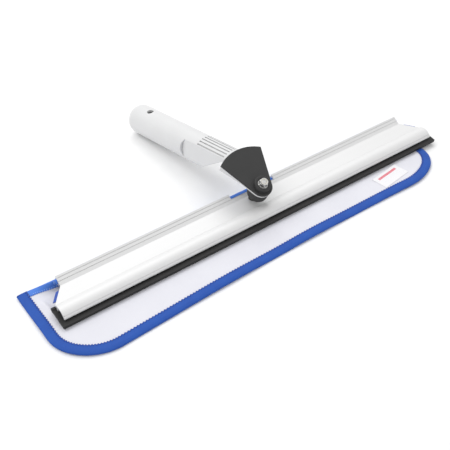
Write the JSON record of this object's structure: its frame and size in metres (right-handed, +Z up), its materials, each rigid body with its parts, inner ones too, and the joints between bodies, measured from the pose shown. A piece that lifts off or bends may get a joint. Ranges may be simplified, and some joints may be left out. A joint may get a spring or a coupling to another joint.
{
  "type": "window squeegee",
  "caption": "Window squeegee with a long aluminium channel, black rubber blade, tilted swivel handle and a flip-over microfibre washing pad with blue binding.",
  "frame": {"origin": "on the surface the tool lies on, under the middle of the channel's front lip, at the underside of the washing pad", "axes": "+X along the channel, +Y back towards the handle, +Z up; the rubber edge faces -Y"},
  "size_m": [0.4802, 0.2682, 0.0577],
  "materials": {
    "aluminium": "satin anodised extrusion with fine lengthwise lines",
    "rubber": "soft matt black natural rubber with a square-cut edge",
    "black_plastic": "fine-textured black moulding",
    "white_plastic": "satin white glass-filled moulding",
    "steel": "bright zinc-plated fasteners",
    "nylon": "natural nylon wearing parts",
    "microfibre": "short-pile white microfibre",
    "backing_cloth": "close-woven white backing",
    "blue_tape": "royal blue woven binding with tonal stitching",
    "blue_hook_tape": "blue hook tape",
    "label_cloth": "white woven tag with a plain red stripe",
    "bead_plastic": "extruded plastic cord"
  },
  "bodies": {
    "head": {"head_channel": "aluminium", "rubber_blade": "rubber", "hook_strip": "blue_hook_tape", "pivot_base": "black_plastic", "base_screw": "steel", "pivot_bolt": "steel", "pivot_nut": "steel", "nut_lock_ring": "nylon", "tooth_washer": "steel", "plain_washer": "steel", "upper_friction_washer": "nylon", "lower_friction_washer": "nylon", "hem_bead": "bead_plastic", "bead_sleeve": "blue_tape"},
    "handle": {"handle_body": "white_plastic", "swivel_guard": "black_plastic", "guard_screws": "steel", "pivot_bush": "nylon"},
    "pad": {"pad_cloth": "microfibre", "pad_backing": "backing_cloth", "edge_binding": "blue_tape", "back_hem": "blue_tape", "care_label": "label_cloth"}
  },
  "joints": [
    {"name": "handle_swivel", "type": "hinge", "parent": "head", "child": "handle", "pos_m": [0, 0.0167, 0.0376], "axis": [0, -0.454, 0.891], "range_deg": [-61.4, 48.6]},
    {"name": "pad_flip", "type": "hinge", "parent": "head", "child": "pad", "pos_m": [0, 0.0462, 0.0113], "axis": [1, 0, 0], "range_deg": [0, 85]}
  ]
}
